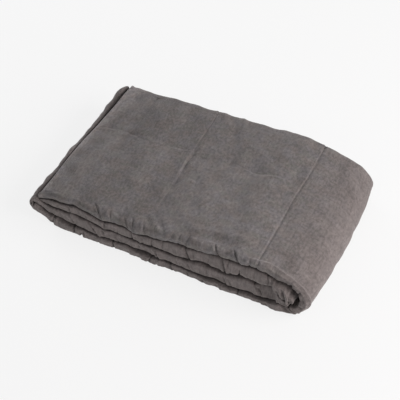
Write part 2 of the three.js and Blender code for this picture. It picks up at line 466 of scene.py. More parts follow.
def curve(rows, column, at, start=-np.inf):
    """A column of a table at places by its first column, steady before `start` and past its ends."""
    keys = next(iter(rows.values()))
    inside = np.clip(at, max(keys[0], start), keys[-1])
    return through(keys, rows[column][:, None], inside.ravel()).reshape(at.shape)


def soften(rows, reach):
    """Rows that lie a millimetre apart, rounded off over about `reach` millimetres."""
    pad = 3 * reach
    before = 2 * rows[:1] - rows[pad:0:-1]
    after = 2 * rows[-1:] - rows[-2 : -pad - 2 : -1]
    weights = bell(np.arange(-pad, pad + 1), 1.4 * reach)
    weights /= weights.sum()
    padded = np.vstack([before, rows, after])
    return np.stack([np.convolve(column, weights, "valid") for column in padded.T], axis=1)


def waves(a, b, length, seed, count=9):
    """A smooth random surface over a and b, from about -1 to 1, with bumps of about `length`."""
    draw = np.random.default_rng(seed)
    total = np.zeros(np.broadcast(a, b).shape)
    for _ in range(count):
        angle, phase = draw.uniform(0, 2 * np.pi, 2)
        pitch = length * draw.uniform(*BUMP_LENGTHS)
        total += np.sin((a * np.cos(angle) + b * np.sin(angle)) * 2 * np.pi / pitch + phase)
    return total / np.sqrt(count)


def bumps(a, b, layers):
    """Layers of random bumps, one over the other."""
    return sum(height * waves(a, stretch * b, length, seed) for height, stretch, length, seed in layers)


# --- The strip's path ---

def half_gap(seam, x):
    """Half of the space between the runs on the two sides of a seam."""
    if seam in ("foot", "crown"):
        return np.zeros(len(x))
    return CLEARANCE + sum(g.width / 2 * bell(x - g.x, g.reach) for g in GAPES if g.seam == seam)


class Strip:
    """Both faces of the folded strip, every millimetre along the cloth from the top's free end.

    faces has the columns left x, left z, right x, right z and the reach of the front edge.
    """

    LEAD = 20  # millimetres that the path is drawn on before the free end

    def __init__(self):
        legs = {
            "top": self.run("crown", "high", 1, "top"),
            "outer": self.turn(OUTER_TURN, "outside", "inside", "top", "bottom"),
            "bottom": self.run("foot", "low", -1, "bottom"),
            "nose": self.turn(NOSE_TURN, "outside", "inside", "bottom", "third"),
            "third": self.run("mid", "low", 1, "third"),
            "inner": self.turn(INNER_TURN, "inside", "outside", "third", "second"),
            "second": self.run("mid", "high", -1, "second"),
        }
        keys = np.vstack(list(legs.values()))
        moved = np.diff(keys, axis=0)
        steps = (np.hypot(moved[:, 0], moved[:, 1]) + np.hypot(moved[:, 2], moved[:, 3])) / 2
        at = np.concatenate([[0], np.cumsum(steps)])
        fine = np.arange(0, at[-1], 1.0)
        rows = soften(through(at, keys, fine), SOFTENING)
        lead = rows[0] + (rows[1] - rows[0]) * np.arange(-self.LEAD, 0)[:, None]
        self.faces = np.vstack([lead, rows])
        self.faces[:, [1, 3]] = np.maximum(self.faces[:, [1, 3]], 0)
        self.along = np.arange(-self.LEAD, len(fine), 1.0)
        self.length = self.along[-1]
        ends = np.cumsum([len(rows) for rows in legs.values()]) - 1
        starts = np.concatenate([[0], ends[:-1]])
        self.legs = {leg: (at[a], at[b]) for leg, a, b in zip(legs, starts, ends)}

    @staticmethod
    def run(left, right, heading, reach):
        x = SEAMS["x"]
        left_z = SEAMS[left] - heading * half_gap(left, x)
        right_z = SEAMS[right] + heading * half_gap(right, x)
        rows = np.stack([x, left_z, x, right_z, np.full(len(x), float(REACH[reach]))], axis=1)
        return rows[::heading]

    @staticmethod
    def turn(turn, left, right, reach_from, reach_to):
        angles = turn.rows["angle"]
        a = np.radians(angles)
        columns = []
        for side in (left, right):
            r = turn.rows[side]
            columns += [turn.x + r * np.cos(a), np.maximum(turn.z + r * np.sin(a), 0)]
        share = (angles - angles[0]) / (angles[-1] - angles[0])
        columns.append(mix(REACH[reach_from], REACH[reach_to], share))
        return np.stack(columns, axis=1)

    def look_up(self, at):
        """The columns of faces at the places `at` along the cloth, each in the shape of `at`."""
        return [np.interp(at, self.along, column) for column in self.faces.T]

    def place(self, leg, x):
        """How far along the cloth a leg passes x."""
        start, stop = self.legs[leg]
        inside = (self.along >= start) & (self.along <= stop)
        middle = (self.faces[inside, 0] + self.faces[inside, 2]) / 2
        order = np.argsort(middle)
        return float(np.interp(x, middle[order], self.along[inside][order]))

    def part_way(self, leg, share):
        """How far along the cloth a share of a leg lies."""
        return mix(*self.legs[leg], share)


# --- The strip's section: four plies, walked along their outer side and home along their inner side

# level and radius are in pitches. outward and homeward are the places of a stretch's columns.
Stretch = namedtuple("Stretch", "name shape level start stop radius bulge down outward homeward")


def evenly(count):
    return np.linspace(0, 1, count)


def cornered(count):
    """Fractions round a rolled edge from 0 to 1, closer together at its two corners."""
    even = evenly(count)
    return even + ROLL_CLUSTER / (4 * np.pi) * np.sin(4 * np.pi * even)


def spread(length, spacing, fine_places):
    """Places from 0 to length, `spacing` apart, and closer near the fine places."""
    step = 0.25
    at = np.arange(0, length, step)
    density = np.full(len(at), 1.0) / spacing
    for place, half_width, fine in fine_places:
        density = np.maximum(density, bell(at - place, half_width) ** 2 / fine)
    count = np.concatenate([[0], np.cumsum(density * step)])
    total = int(round(count[-1]))
    return np.interp(np.linspace(0, count[-1], total + 1), count, np.append(at, length))


class Section:
    """The outline's columns. Every column has a place on each station's outline."""

    def __init__(self):
        top = spread(FLAT_WIDTH, COLUMN_SPACING, FINE_COLUMNS)[1:-1] / FLAT_WIDTH
        hem = np.array([0.0, 0.5])
        three, five = evenly(5)[1:-1], evenly(7)[1:-1]
        self.stretches = [
            Stretch("outer hem", "hem", 1.5, None, None, 0, 1, 1, hem, hem[1:]),
            Stretch("face", "flat", 1.5, "outer hem", "front", 0, 0, 0, top, five),
            Stretch("front roll", "roll", 0, None, "front", 1.5, -1, 1, cornered(21), evenly(6)),
            Stretch("under", "flat", -1.5, "front", "back", 0, 0, 0, five, three),
            Stretch("back roll", "roll", -1, None, "back", 0.5, 1, -1, evenly(6), evenly(3)),
            Stretch("inner under", "flat", -0.5, "back", "inner front", 0, 0, 0, three, three),
            Stretch("inner roll", "roll", 0, None, "inner front", 0.5, -1, -1, evenly(3), evenly(5)),
            Stretch("inner face", "flat", 0.5, "inner front", "inner hem", 0, 0, 0, three, three),
            Stretch("inner hem", "hem", 0.5, None, None, 0, -1, 1, hem[::-1], hem[1:]),
        ]
        outward = [(s, f, 1) for s in self.stretches for f in s.outward]
        homeward = [(s, f, -1) for s in reversed(self.stretches) for f in s.homeward[::-1]]
        self.columns = outward + homeward
        stretches, fractions, sides = zip(*self.columns)
        self.name = np.array([s.name for s in stretches])
        self.fraction, self.side = np.array(fractions), np.array(sides)
        self.across = self.cloth_places()
        # The columns that show lie between the outer hem and the end of the front roll.
        self.shown = np.nonzero((self.name == "front roll") & (self.side == 1))[0][-1] + 1

    def cloth_places(self):
        """How far each column lies from the outer hem, measured over the cloth."""
        starts, total = {}, 0.0
        for s in self.stretches:
            lengths = {"flat": FLAT_WIDTH, "hem": PITCH * PLY_SHARE / 2,
                       "roll": np.pi * s.radius * PITCH * (1 + ROLL_STRETCH) / 2}
            starts[s.name] = (total, lengths[s.shape])
            total += lengths[s.shape]
        self.cloth_width = total
        return np.array([starts[s.name][0] + starts[s.name][1] *
                         (1 - f if s.name == "inner hem" else f) for s, f, _ in self.columns])

    def outline(self, thickness, reach, rounding, crown):
        """y, rise above the strip's middle and the ply's own level, for each station and column."""
        ply = np.minimum(PLY, thickness * PLY_SHARE / (PITCHES + PLY_SHARE))
        pitch = (thickness - ply) / PITCHES
        half = rounding * ply / 2
        ends = {
            "front": -WIDTH / 2 - reach + ROLL_STRETCH * (TOP_LEVEL * pitch + ply / 2),
            "back": WIDTH / 2 - ROLL_STRETCH * (0.5 * pitch + ply / 2),
            "outer hem": WIDTH / 2 - ply / 2,
            "inner hem": WIDTH / 2 - HEM_STAGGER - ply / 2,
        }
        ends["inner front"] = ends["front"] + INNER_SETBACK
        y, rise, level = np.empty((3, len(thickness), len(self.columns)))
        for i, (s, f, side) in enumerate(self.columns):
            level[:, i] = s.level
            if s.shape == "flat":
                y[:, i] = mix(ends[s.start], ends[s.stop], f)
                up = side * half * np.sign(ends[s.start] - ends[s.stop])
            elif s.shape == "roll":
                a = np.pi * (0.5 - f) * s.down
                r = s.radius * pitch - side * half * s.bulge * s.down
                square = mix(ROLL_SQUARENESS, CROWN_SQUARENESS, crown * (a > 0)) if s.radius > 1 else 2
                r = r / (np.abs(np.cos(a)) ** square + np.abs(np.sin(a)) ** square) ** (1 / square)
                y[:, i] = ends[s.stop] + s.bulge * ROLL_STRETCH * r * np.cos(a)
                up = r * np.sin(a)
                level[:, i] += s.radius * np.sin(a)
            else:
                y[:, i] = ends[s.name] + half * np.cos(np.pi * f)
                up = side * half * s.bulge * np.sin(np.pi * f)
            rise[:, i] = s.level * pitch + up
        return y, rise, level


# --- The cloth ---

class Cloth:
    """Every point of the cloth's skin, as an array of stations by columns."""

    def __init__(self):
        self.strip = Strip()
        self.section = Section()
        self.along = self.stations()
        self.to_end = np.minimum(self.along, self.strip.length - self.along)
        self.points = self.lie()
        self.points += self.facing() * self.relief()[:, :, None]
        self.points[:, :, 2] = np.maximum(self.points[:, :, 2], 0)

    def stations(self):
        strip = self.strip
        creases = [strip.place(crease.leg, crease.x) for crease in CREASES]
        creases += [strip.part_way(crease.leg, crease.at) for crease in TURN_CREASES]
        fine = [(place, *NEAR_CREASE) for place in creases]
        fine += [(place, *NEAR_QUILTING) for place in np.arange(FIRST_ALONG, strip.length, QUILT_ALONG)]
        fine.append((HEM_LINE, *NEAR_HEM))
        places = []
        for leg, (start, stop) in strip.legs.items():
            near = [(at - start, half, gap) for at, half, gap in fine]
            places.append(start + spread(stop - start, STATION_SPACING[leg], near)[:-1])
        places = np.concatenate(places)
        ends = np.array(END_ROUNDING, float)
        inner = places[(places > ends[-1] + 1) & (places < strip.length - ends[-1] - 1)]
        return np.concatenate([ends, inner, strip.length - ends[::-1]])

    def lie(self):
        """Where each point lies before its relief."""
        strip, along = self.strip, self.along
        left_x, left_z, right_x, right_z, reach = strip.look_up(along)
        thickness = np.hypot(left_x - right_x, left_z - right_z)
        into_end = np.clip(self.to_end / END_ROUNDING[-1], END_FLATNESS, 1)
        rounding = np.sqrt(1 - (1 - into_end) ** 2)
        reach = reach + bumps(along, 0, EDGE_BUMPS)
        middle_x = (left_x + right_x) / 2
        lean = 0
        for s in SETBACKS:
            drawn = within(middle_x, s.start, s.stop, s.soft) * self.on_leg(s.leg)
            reach = reach - s.by * drawn
            lean = lean + s.lean * drawn
        y, rise, level = self.section.outline(thickness, reach, rounding, self.on_leg("top"))

        depth = y / WIDTH + 0.5  # from the front edge at 0 to the back one at 1
        lower = smooth(TOP_LEVEL - level)
        step = mix(-curve(LEFT_END, "inside", y), curve(LEFT_END, "outside", y), lower)
        step = step * np.clip(1 - along / END_STEP_REACH, 0, 1)[:, None]
        left_x, left_z, right_x, right_z, _ = strip.look_up(along[:, None] - step)
        # The rolled edges are slimmer than the stack behind them, so the seams open at the front.
        # They shrink towards the strip's middle, and the bottom run towards the floor.
        tip = smooth((-y - WIDTH / 2 + ROLL_DEPTH) / ROLL_DEPTH)
        slimmer = tip * (ROLL_SLIMMER * (1 + bumps(along, 0, SLIMMING)))[:, None]
        fixed = mix(0.5, 1, self.on_leg("bottom"))[:, None]
        share = fixed + (0.5 + rise / thickness[:, None] - fixed) * (1 - slimmer)
        self.share = share
        y = y + tip * share * lean[:, None]
        flare = BACK_FLARE * np.maximum(TOP_LEVEL - level, 0)
        flare = flare * ramp(y, *FLARE_Y) * ramp(along, *FLARE_ALONG)[:, None]
        x = mix(right_x, left_x, share)
        z = mix(right_z, left_z, share)
        self.lift = (z - np.minimum(left_z, right_z)) / np.maximum(np.abs(left_z - right_z), 1)

        slope = curve(SEAMS, "back", x, CROWN_FROM) / curve(SEAMS, "crown", x, CROWN_FROM)
        slope = mix(1, slope, depth)
        skew = curve(LEFT_END, "slant", y) * ramp(x, *LEFT_REACH)
        on_nose = ramp(x, *NOSE_X) * (1 - self.on_leg("top"))[:, None]
        tuck = curve(LEFT_END, "tuck", y) * on_nose
        uneven = 1 + bumps(y, 0, NOSE_RISE_BUMPS) + NOSE_CORNER * ramp(y, *CORNER_Y)
        z = z + NOSE_RISE * on_nose * (ramp(y, *NOSE_Y) * uneven) * ramp(z, *NOSE_Z)
        rounded = curve(RIGHT_END, "drawn", y) * ramp(x, *RIGHT_REACH)
        return np.stack([x + skew + tuck - rounded, y + flare, z * slope], axis=2)

    def facing(self):
        """The outward direction at every point."""
        lengthwise = np.gradient(self.points, self.along, axis=0)
        around = np.roll(self.points, -1, axis=1) - np.roll(self.points, 1, axis=1)
        normals = np.cross(around, lengthwise)
        return normals / np.maximum(np.linalg.norm(normals, axis=2, keepdims=True), TINY)

    def on_leg(self, leg, soft=12):
        """1 on a leg, fading out past its ends."""
        start, stop = self.strip.legs[leg]
        return within(self.along, start, stop, soft)

    # -- relief --

    def relief(self):
        section = self.section
        x, y = self.points[:, :, 0], self.points[:, :, 1]
        outside = section.side == 1
        face = outside & np.isin(section.name, ["face", "outer hem"])
        roll = outside & (section.name == "front roll")
        back = outside & (section.name == "back roll")
        unrolled = (self.along - self.strip.place("top", 0))[:, None]
        top = np.maximum(self.on_leg("top"), self.on_leg("outer"))[:, None]
        down = smooth(TOP_EDGE[0] - section.fraction / TOP_EDGE[1])
        over_edge = np.where(roll, down, face.astype(float))

        height = top * over_edge * self.top_relief(unrolled, y)
        height += (roll | face) * self.crease_relief(x, y)
        height += roll * self.turn_relief()
        height += roll * bumps(self.along[:, None], section.fraction[None, :], ROLL_BUMPS)
        height += back * bumps(x, 0, BACK_BUMPS)
        height += face * self.on_leg("nose")[:, None] * bumps(y, x, NOSE_BUMPS)
        return height * smooth(self.to_end / END_REACH)[:, None]

    def top_relief(self, x, y):
        """The quilting, the hems and the marks, with x unrolled along the cloth."""
        along = x + self.strip.place("top", 0)
        across = WIDTH / 2 - y
        height = bumps(x, y, TOP_BUMPS)
        for k in range(QUILT_LINES):
            line = along - FIRST_ALONG - k * QUILT_ALONG + quilt_wander(y, k)
            flatter = mix(*FIRST_FLATTER, ramp(y, *FIRST_FLATTER_Y)) if k == 0 else 0
            height += groove(line, QUILT_DEPTH) * (1 - flatter)
        line = y - np.interp(x, LONG_LINE["x"], LONG_LINE["y"])
        height += groove(line, LONG_DEPTH) * (1 - LONG_FLATTER * ramp(x, *LONG_FLATTER_X))
        swell = puff(along - FIRST_ALONG, QUILT_ALONG) * puff(across - FIRST_ACROSS, QUILT_ACROSS)
        height += PUFF * swell * ramp(across, *PUFF_ACROSS) * ramp(x, *PUFF_ALONG)
        rim, depth = mix(*END_RIM, ramp(y, *END_RIM_Y)), END_GROOVE * ramp(y, *END_GROOVE_Y)
        height += hem(along - HEM_LINE, rim, depth, *END_PLACE)
        height += hem(across - HEM_LINE, BACK_RIM, BACK_GROOVE, *BACK_PLACE)
        for mark in TOP_MARKS:
            height += line_mark(x, y, mark)
        ridge_y = RIDGE["y"] + RIDGE["bulge"] * bell(x - RIDGE["bulge x"], RIDGE["bulge width"])
        ridge = bell(y - ridge_y, RIDGE["width"]) * ramp(x, *RIDGE["from"]) * ramp(x, *RIDGE["to"])
        return height + RIDGE["height"] * ridge

    def crease_relief(self, x, y):
        """The creases and the small puckers along the runs."""
        height = np.zeros(x.shape)
        back = y + WIDTH / 2
        over = TURN_SHARE * np.clip(back / TURN_BACK, 0, 1) + np.maximum(back - TURN_BACK, 0) / RUN_ON
        lift = mix(self.lift, (1 - TURN_SHARE) * self.lift + over, self.on_leg("top")[:, None])
        for crease in CREASES + small_puckers():
            away = np.abs(self.along - self.strip.place(crease.leg, crease.x))
            near = self.on_leg(crease.leg) * (away < CREASE_REACH)
            rows = np.nonzero(near > 0)[0]
            v = lift[rows]
            t = (v - crease.low) / (crease.high - crease.low)
            off = x[rows] - (crease.x + crease.lean * (v - 0.5) + bowed(crease.bow, t))
            step = crease.step * 0.5 * np.tanh(off / crease.width) * bell(off, STEP_WIDTH)
            strength = near[rows][:, None] * faded(t, CREASE_FADE)
            height[rows] += strength * (crease_groove(crease, off) + step)
        return height

    def turn_relief(self):
        """The creases on the rolled edge round the turns."""
        height = np.zeros(self.share.shape)
        for crease in TURN_CREASES:
            middle = self.strip.part_way(crease.leg, crease.at) + crease.lean * (self.share - 0.5)
            t = (self.share - crease.low) / (crease.high - crease.low)
            height += faded(t, CREASE_FADE) * crease_groove(crease, self.along[:, None] - middle)
        return height


def groove(distance, depth):
    """A stitched line: a narrow groove, steeper on one side, between soft shoulders."""
    shoulders = sum(share * bell(distance + shift, width) for share, shift, width in SHOULDERS)
    wall = np.where(distance < GROOVE_SHIFT, *WALLS)
    return depth * (shoulders - bell(distance - GROOVE_SHIFT, wall))


def puff(distance, pitch):
    return np.abs(np.sin(np.pi * distance / pitch)) ** PUFF_ROUNDNESS


def hem(distance, rim, depth, away, width):
    """A padded rim that lies `away` outside the stitches, and the groove of the stitches."""
    return rim * bell(distance + away, width) - depth * bell(distance, HEM_GROOVE)


def crease_groove(crease, off):
    """A crease seen across its line, with a raised lip on each side."""
    share, away, width = LIPS
    lips = share * crease.depth * bell(np.abs(off) - away * crease.width, width * crease.width)
    return lips - crease.depth * bell(off, crease.width)


def line_mark(x, y, mark):
    dx, dy = mark.x1 - mark.x0, mark.y1 - mark.y0
    length = np.hypot(dx, dy)
    t = ((x - mark.x0) * dx + (y - mark.y0) * dy) / length**2
    off = ((x - mark.x0) * dy - (y - mark.y0) * dx) / length + bowed(mark.bow, np.clip(t, 0, 1))
    return mark.height * bell(off, mark.width) * faded(t, MARK_FADE)


def quilt_wander(y, k):
    """How far the line across the strip numbered k strays from straight."""
    height, length, seed = QUILT_WANDER
    return height * waves(y, 0, length, seed + k)


def small_puckers():
    draw = np.random.default_rng(PUCKER_SEED)
    made = []
    for leg, count in PUCKERS.items():
        for x in np.linspace(*PUCKERED, count):
            drawn = {name: draw.uniform(*span) for name, span in PUCKER_SPANS.items()}
            drawn["x"] += x
            drawn["high"] += drawn["low"]
            made.append(Crease(leg, **drawn))
    return made


# --- The meshes ---

def meshed(name, bm):
    """A mesh made of a bmesh, which is then freed."""
    mesh = bpy.data.meshes.new(name)
    bm.to_mesh(mesh)
    bm.free()
    return mesh


def placed(name, data):
    piece = bpy.data.objects.new(name, data)
    bpy.context.scene.collection.objects.link(piece)
    return piece


def shared_grid(cloth):
    """The skin as a welded mesh with the cloth's own coordinates, in metres, as its UV map."""
    rows, columns = cloth.points.shape[:2]
    bm = bmesh.new()
    bm.loops.layers.uv.new("cloth")
    bmesh.ops.create_grid(bm, x_segments=columns, y_segments=rows - 1, size=1)
    mesh = meshed("bedspread_cloth", bm)
    closed = np.concatenate([cloth.points, cloth.points[:, :1]], axis=1)
    mesh.vertices.foreach_set("co", ((closed - np.array(ORIGIN)) * MM).astype(np.float32).ravel())
    vertex = np.empty(len(mesh.loops), np.int32)
    mesh.loops.foreach_get("vertex_index", vertex)
    row, column = np.divmod(vertex, columns + 1)
    across = np.append(cloth.section.across, cloth.section.across[0])
    uv = np.stack([across[column], cloth.along[row]], axis=1) * MM
    mesh.uv_layers[0].data.foreach_set("uv", uv.astype(np.float32).ravel())
    mesh.update()
    return mesh


def thin_out(bm, cloth, index):
    """Joins the faces of the plies that nothing shows, where the fine cutting is of no use."""
    section, legs = cloth.section, cloth.strip.legs
    columns = cloth.points.shape[1]
    kept_rows = range(END_ROWS, len(cloth.along) - END_ROWS)
    start, stop = legs["bottom"][0] + COVERED_FROM, legs["nose"][0] - COVERED_FROM
    again = legs["third"][0] + COVERED_FROM
    covered = ((cloth.along > start) & (cloth.along < stop)) | (cloth.along > again)
    face = np.nonzero((section.name == "face") & (section.side == 1))[0]
    inner = np.isin(section.name, ["inner under", "inner roll", "inner face"]) | (section.side == -1)
    inner &= ~((section.name == "outer hem") | (section.name == "inner hem"))
    spare = [((r, c), (r + 1, c)) for i, c in enumerate(face[1:-1]) if i % HIDDEN_COLUMNS
             for r in kept_rows if covered[r] and covered[r + 1]]
    spare += [((r, c), (r, c + 1)) for r in kept_rows if r % HIDDEN_ROWS
              for c in range(columns - 1) if inner[c] and inner[c + 1]]
    edges = [bm.edges.get([bm.verts[index(*end)] for end in ends]) for ends in spare]
    bmesh.ops.dissolve_edges(bm, edges=edges, use_verts=True, use_face_split=False)


def close_ends(mesh, cloth):
    """Welds the seam of the skin and fills the two free ends."""
    bm = bmesh.new()
    bm.from_mesh(mesh)
    bm.verts.ensure_lookup_table()
    rows, columns = cloth.points.shape[:2]

    def index(row, column):
        return row * (columns + 1) + column

    pairs = {bm.verts[index(r, columns)]: bm.verts[index(r, 0)] for r in range(rows)}
    thin_out(bm, cloth, index)
    bmesh.ops.weld_verts(bm, targetmap=pairs)
    edges = [e for e in bm.edges if e.is_boundary]
    filled = bmesh.ops.edgeloop_fill(bm, edges=edges)["faces"]
    layer = bm.loops.layers.uv[0]
    for face in filled:
        for loop in face.loops:
            beside = next(other for other in loop.vert.link_loops if other.face != face)
            loop[layer].uv = beside[layer].uv
    bmesh.ops.triangulate(bm, faces=filled)
    bmesh.ops.recalc_face_normals(bm, faces=bm.faces)
    for face in bm.faces:
        face.smooth = True
    bm.to_mesh(mesh)
    bm.free()


def sewing_lines(cloth):
    """The lines of stitches that show, as how far along and how far across the cloth they run."""
    strip, section = cloth.strip, cloth.section
    shown = strip.legs["nose"][0]
    roll = section.across[section.name == "front roll"]
    across = np.arange(SEWN_FROM, (roll.min() + roll.max()) / 2, 1.0)
    lines = [(HEM_LINE + 0 * across, across)]
    for k in range(QUILT_LINES):
        place = FIRST_ALONG + k * QUILT_ALONG
        if place < shown:
            lines.append((place - quilt_wander(WIDTH / 2 - across, k), across))
    along = np.arange(SEWN_FROM, shown, 1.0)
    lines.append((along, HEM_LINE + 0 * along))
    x = along - strip.place("top", 0)
    lines.append((along, WIDTH / 2 - np.interp(x, LONG_LINE["x"], LONG_LINE["y"])))
    return lines


def stitches(cloth):
    """One mesh of small closed stitches, half sunk in the grooves of the sewing lines."""
    section, points = cloth.section, cloth.points
    columns, rows = np.arange(section.shown), np.arange(len(cloth.along))

    def on_cloth(along, across):
        row = np.interp(along, cloth.along, rows)
        column = np.interp(across, section.across[columns], columns)
        r = np.minimum(row.astype(int), len(rows) - 2)
        c = column.astype(int)
        past_row, past_column = (row - r)[:, None], (column - c)[:, None]
        near = mix(points[r, c], points[r, c + 1], past_column)
        far = mix(points[r + 1, c], points[r + 1, c + 1], past_column)
        return mix(near, far, past_row)

    shape = bmesh.new()
    bmesh.ops.create_icosphere(shape, subdivisions=1, radius=1)
    template = meshed("stitch", shape)
    bm = bmesh.new()
    offset = Vector(ORIGIN)
    for along, across in sewing_lines(cloth):
        line = on_cloth(along, across)
        run = np.concatenate([[0], np.cumsum(np.linalg.norm(np.diff(line, axis=0), axis=1))])
        starts = np.arange(0, run[-1] - STITCH["pitch"], STITCH["pitch"])
        ends = [np.stack([np.interp(at, run, way) for way in line.T], axis=1)
                for at in (starts, starts + STITCH["length"])]
        for start, stop in zip(*ends):
            start, stop = Vector(start) - offset, Vector(stop) - offset
            turned = (stop - start).to_track_quat("X", "Z").to_matrix()
            size = Vector(((stop - start).length, STITCH["thick"], STITCH["thick"])) / 2
            first = len(bm.verts)
            bm.from_mesh(template)
            bm.verts.ensure_lookup_table()
            for vert in bm.verts[first:]:
                vert.co = ((start + stop) / 2 + turned @ (vert.co * size)) * MM
    bpy.data.meshes.remove(template)
    return meshed("quilting_stitches", bm)


def add_piece(name, mesh, material):
    piece = placed(name, mesh)
    mesh.materials.append(material)
    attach(piece, "root")
    return piece


# --- Linen ---

class Nodes:
    """A short way to write a material's nodes."""

    def __init__(self, name):
        self.material = bpy.data.materials.new(name)
        self.material.use_nodes = True
        self.tree = self.material.node_tree
        self.shader = self.tree.nodes["Principled BSDF"]

    def add(self, kind, inputs, **settings):
        node = self.tree.nodes.new("ShaderNode" + kind)
        for key, value in settings.items():
            setattr(node, key, value)
        return self.put(node, inputs)

    def put(self, node, inputs):
        for key, value in inputs.items():
            if isinstance(value, bpy.types.NodeSocket):
                self.tree.links.new(value, node.inputs[key])
            else:
                node.inputs[key].default_value = value
        return node

    def maths(self, operation, *values):
        """One operation over two or more values, from the first to the last."""
        def step(a, b):
            return self.add("Math", {0: a, 1: b}, operation=operation).outputs[0]

        return reduce(step, values)

    def noise(self, vector, stretch, detail, roughness, scale=1.0, distortion=0.0):
        stretched = self.add("VectorMath", {0: vector, 1: stretch}, operation="MULTIPLY").outputs[0]
        node = self.add("TexNoise", {"Vector": stretched, "Scale": scale, "Detail": detail,
                                     "Roughness": roughness, "Distortion": distortion})
        return node.outputs["Fac"]

    def ranged(self, value, low, high, to_low, to_high):
        node = self.add("MapRange", {"Value": value, "From Min": low, "From Max": high,
                                     "To Min": to_low, "To Max": to_high})
        return node.outputs["Result"]

    def blend(self, factor, a, b):
        return self.add("Mix", {0: factor, 6: a, 7: b}, data_type="RGBA").outputs[2]

    def scaled(self, colour, shade):
        return self.add("VectorMath", {0: colour, "Scale": shade}, operation="SCALE").outputs[0]

    def bump(self, strength, distance, height):
        node = self.add("Bump", {"Strength": strength, "Distance": distance, "Height": height})
        return node.outputs["Normal"]


LINEN_COOL = (0.143, 0.133, 0.136, 1)
LINEN_WARM = (0.148, 0.131, 0.126, 1)
LINEN_GREEN = (0.138, 0.133, 0.124, 1)
PAINTED_ROSE_LIGHT = (0.143, 0.123, 0.119, 1)  # painted warm light where the cloth goes round the outer turn, lit from the right
THREAD = (0.22, 0.204, 0.2)
THREAD_PITCH = 0.00085  # metres from one thread of the weave to the next
STRAYING, STRAY = 60, 0.0008  # scale of the noise that the threads stray by, and metres
PAINTED_SHADE_DISTANCE = 0.009  # metres within which another fold lays painted shade on the cloth beside it
PAINTED_SHADE_RAYS = 8  # that look for such a fold

# Two values of a pattern or a place in metres, and the result at each.
PAINTED_HIGHLIGHT_REACH = (0.04, 0.13, 0.06, 0.016)  # how far in from the free end the painted highlight reaches, across from the back
PAINTED_HIGHLIGHT_ACROSS = (0.04, 0.28, 1, 0.35)  # how strong the painted highlight is there, across from the back
PAINTED_HIGHLIGHT_PATCHES = (0.3, 0.6, 0.5, 1)  # how strong the painted highlight is there, in patches by the rubbed noise
ROUGHNESS = (0.3, 0.7, 0.86, 0.97)  # by the speckle

# Noises over the cloth: scale across and along it, detail and roughness, and for two of them a further
# scale and a distortion.
NOISES = {
    "weft slubs": ((45, 620, 1), 3, 0.6),
    "warp slubs": ((620, 45, 1), 3, 0.6),
    "speckle": ((150, 180, 1), 3, 0.65),
    "clouds": ((42, 34, 1), 3, 0.6),
    "rubbed": ((9, 16, 1), 3, 0.6, 1, 0.4),
    "warmth": ((38, 30, 1), 4, 0.6),
    "greenness": ((55, 21, 1), 3, 0.6, 1.3),
}

# How a pattern or a place changes the shade, in the same way.
SHADING = {
    "slubs": (0.8, 1.2, 0.87, 1.13),
    "speckle": (0.36, 0.64, 0.78, 1.22),
    "clouds": (0.35, 0.65, 0.91, 1.09),
    "rubbed": (0.35, 0.65, 0.94, 1.08),
    "weave": (-1, 1, 0.94, 1.06),
    # painted highlight on the rim of the free end, paler towards the far left corner
    "painted_end_highlight": (0, 1, 1, 2.3),
    # painted shade, darkest where another fold lies close: in the seams and creases
    "painted_crevice_shade": (0.1, 0.75, 0.25, 1),
    # painted shade: darker towards the back hem, where the top turns away from the light
    "across": (0.02, 0.2, 0.9, 1.02),
}
# What tints the cloth, from LINEN_COOL on, with the tint's share in the same way.
TINTS = (
    ("warmth", (0.42, 0.58, 0, 1), LINEN_WARM),
    ("greenness", (0.5, 0.64, 0, 0.7), LINEN_GREEN),
    # painted warm light round the outer turn
    ("along", (0.48, 0.6, 0, 0.9), PAINTED_ROSE_LIGHT),
)
SURFACE = {"weave": 0.35, "slubs": 0.9, "speckle": 0.9, "clouds": 1.6}  # shares of the fine bumps

# Painted shade in soft bands across the top, standing in for how the light falls on broad folds and on
# the nap: how pale it looks at each distance in metres from the free end.
PAINTED_SHADE_BANDS = table("along shade", """
    0.012 0.99   0.036 0.89   0.069 1.03   0.09 0.87
    0.146 0.87   0.171 1   0.214 0.9   0.254 1
    0.288 1   0.4 1.02   0.5 1   0.58 1
""")
PAINTED_BANDS_REACH = 0.6  # metres in from the free end that the bands cover


# The painted shade bands, as a smooth colour ramp along the cloth.
def painted_shade_bands(n, along):
    highest = PAINTED_SHADE_BANDS["shade"].max()
    node = n.add("ValToRGB", {"Fac": n.maths("DIVIDE", along, PAINTED_BANDS_REACH)})
    bands = node.color_ramp
    bands.interpolation = "EASE"
    for place, level in zip(PAINTED_SHADE_BANDS["along"] / PAINTED_BANDS_REACH, PAINTED_SHADE_BANDS["shade"] / highest):
        bands.elements.new(place).color = (level, level, level, 1)
    bands.elements.remove(bands.elements[0])
    bands.elements.remove(bands.elements[-1])
    return n.maths("MULTIPLY", node.outputs["Color"], highest)


